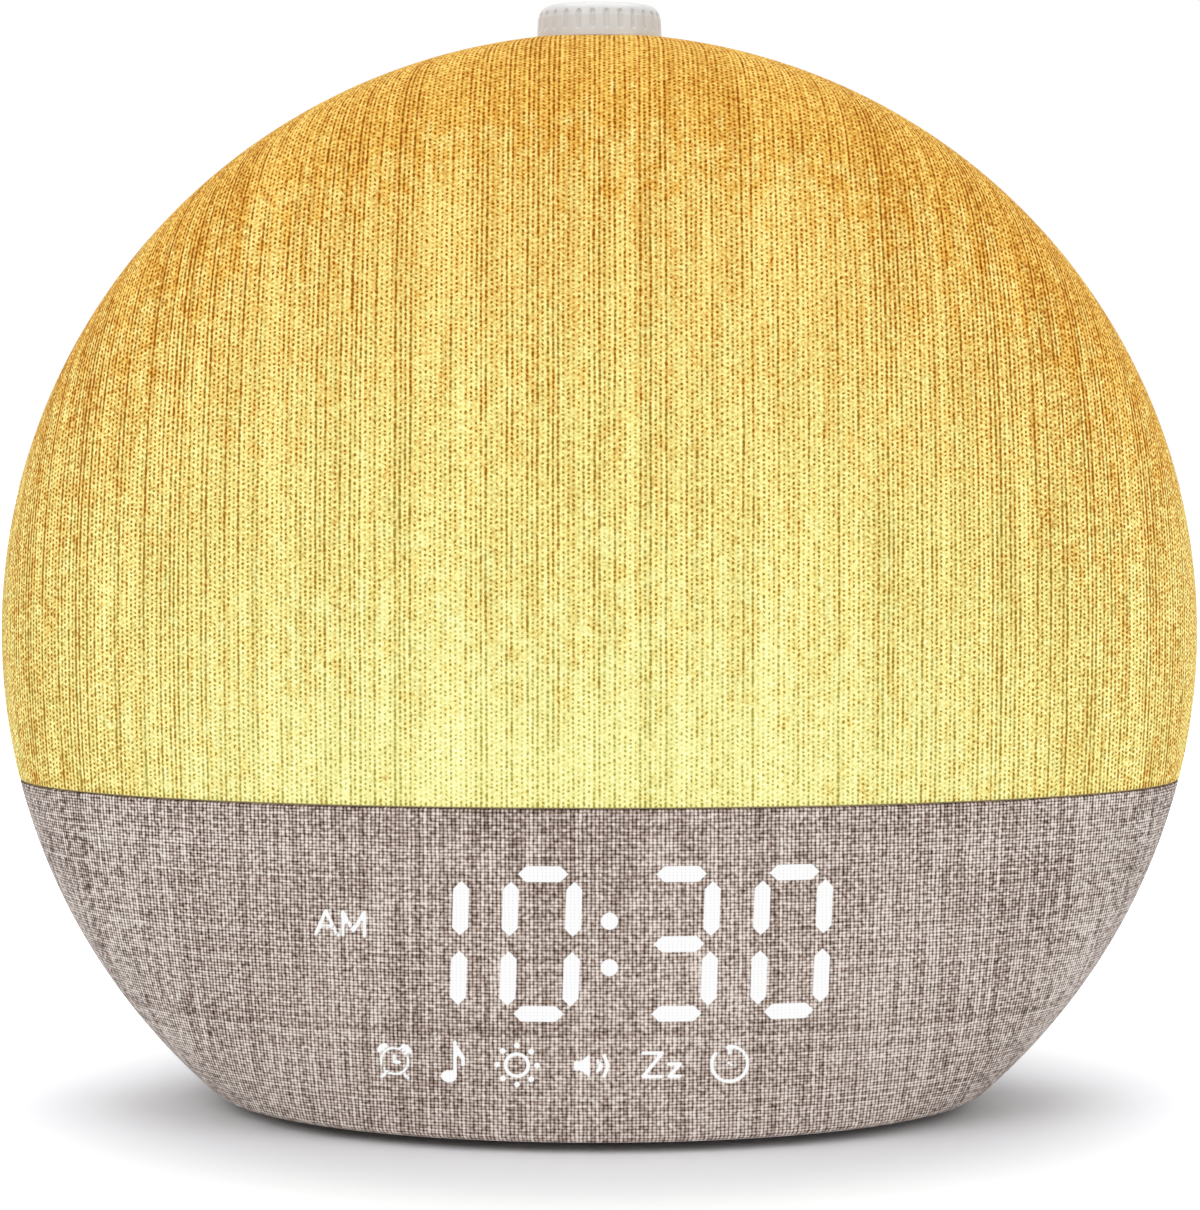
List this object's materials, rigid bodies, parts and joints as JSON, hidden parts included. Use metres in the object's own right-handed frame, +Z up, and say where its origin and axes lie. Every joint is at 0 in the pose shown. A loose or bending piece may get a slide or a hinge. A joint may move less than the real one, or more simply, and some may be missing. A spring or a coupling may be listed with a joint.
{
  "type": "sunrise alarm clock",
  "caption": "Bedside clock with a round fabric-covered light dome, a fabric base with a glowing display, a grooved top knob and rear buttons.",
  "frame": {"origin": "on the table, under the middle of the body", "axes": "+Z up, -Y towards the display (front), +X to the right seen from the front"},
  "size_m": [0.19, 0.0856, 0.1743],
  "materials": {
    "glow_fabric": "woven, lit from behind",
    "taupe_fabric": "woven, matt",
    "diffuser_plastic": "moulded, translucent",
    "housing_plastic": "moulded, fine texture",
    "knob_plastic": "moulded, satin",
    "button_plastic": "moulded",
    "dark_plastic": "moulded",
    "white_plastic": "moulded",
    "lit_guide": "light guide, lit",
    "dark_guide": "light guide, unlit",
    "green_board": "solder-masked laminate",
    "white_board": "white solder mask on aluminium",
    "lamp": "lit lamp",
    "steel": "zinc plated",
    "brass": "turned",
    "aluminium_can": "drawn can",
    "rubber": "moulded, matt",
    "cone_fibre": "pressed fibre",
    "speaker_steel": "pressed and painted",
    "ferrite": "sintered",
    "cable_jacket": "flat cable"
  },
  "bodies": {
    "root": {"amplifier_chip": "dark_plastic", "backup_cell": "steel", "base_fabric": "taupe_fabric", "base_housing": "housing_plastic", "board_connectors": "white_plastic", "board_screws": "steel", "bottom_plate": "housing_plastic", "bottom_screws": "steel", "button_board": "green_board", "button_switches": "dark_plastic", "capacitors": "aluminium_can", "cell_holder": "dark_plastic", "dark_segments": "dark_guide", "deck_screws": "steel", "display_board": "green_board", "display_cable": "cable_jacket", "display_icons": "lit_guide", "display_leds": "lamp", "display_mask": "dark_plastic", "dome_diffuser": "diffuser_plastic", "dome_fabric": "glow_fabric", "encoder_board": "green_board", "encoder_body": "speaker_steel", "encoder_nut": "brass", "foot_ring": "rubber", "knob_cable": "cable_jacket", "knob_collar": "dark_plastic", "led_board": "white_board", "leds": "lamp", "light_box": "white_plastic", "light_cable": "cable_jacket", "light_deck": "white_plastic", "lit_segments": "lit_guide", "main_board": "green_board", "power_inductor": "ferrite", "power_inlet": "dark_plastic", "processor_chip": "dark_plastic", "radio_module": "aluminium_can", "rear_panel": "housing_plastic", "reflector": "white_plastic", "speaker_cable": "cable_jacket", "speaker_cone": "cone_fibre", "speaker_frame": "speaker_steel", "speaker_gasket": "rubber", "speaker_magnet": "ferrite", "speaker_screws": "steel", "speaker_surround": "rubber"},
    "push_plunger": {"switch_plunger": "dark_plastic"},
    "knob": {"knob": "knob_plastic", "encoder_shaft": "aluminium_can"},
    "alarm_button": {"alarm_button": "button_plastic"},
    "time_button": {"time_button": "button_plastic"},
    "sound_button": {"sound_button": "button_plastic"},
    "sleep_button": {"sleep_button": "button_plastic"}
  },
  "joints": [
    {"name": "knob_press", "type": "slide", "parent": "root", "child": "push_plunger", "axis": [0, 0, -1], "range_m": [0, 0.0005], "stiffness_N_per_m": 1500, "springref_m": -0.0005},
    {"name": "knob_turn", "type": "hinge", "parent": "push_plunger", "child": "knob", "pos_m": [0, 0, 0.16984], "axis": [0, 0, 1], "continuous": true},
    {"name": "alarm_button_press", "type": "slide", "parent": "root", "child": "alarm_button", "axis": [0, -1, 0], "range_m": [0, 0.0006], "stiffness_N_per_m": 1500, "springref_m": -0.0005},
    {"name": "time_button_press", "type": "slide", "parent": "root", "child": "time_button", "axis": [0, -1, 0], "range_m": [0, 0.0006], "stiffness_N_per_m": 1500, "springref_m": -0.0005},
    {"name": "sound_button_press", "type": "slide", "parent": "root", "child": "sound_button", "axis": [0, -1, 0], "range_m": [0, 0.0006], "stiffness_N_per_m": 1500, "springref_m": -0.0005},
    {"name": "sleep_button_press", "type": "slide", "parent": "root", "child": "sleep_button", "axis": [0, -1, 0], "range_m": [0, 0.0006], "stiffness_N_per_m": 1500, "springref_m": -0.0005}
  ]
}
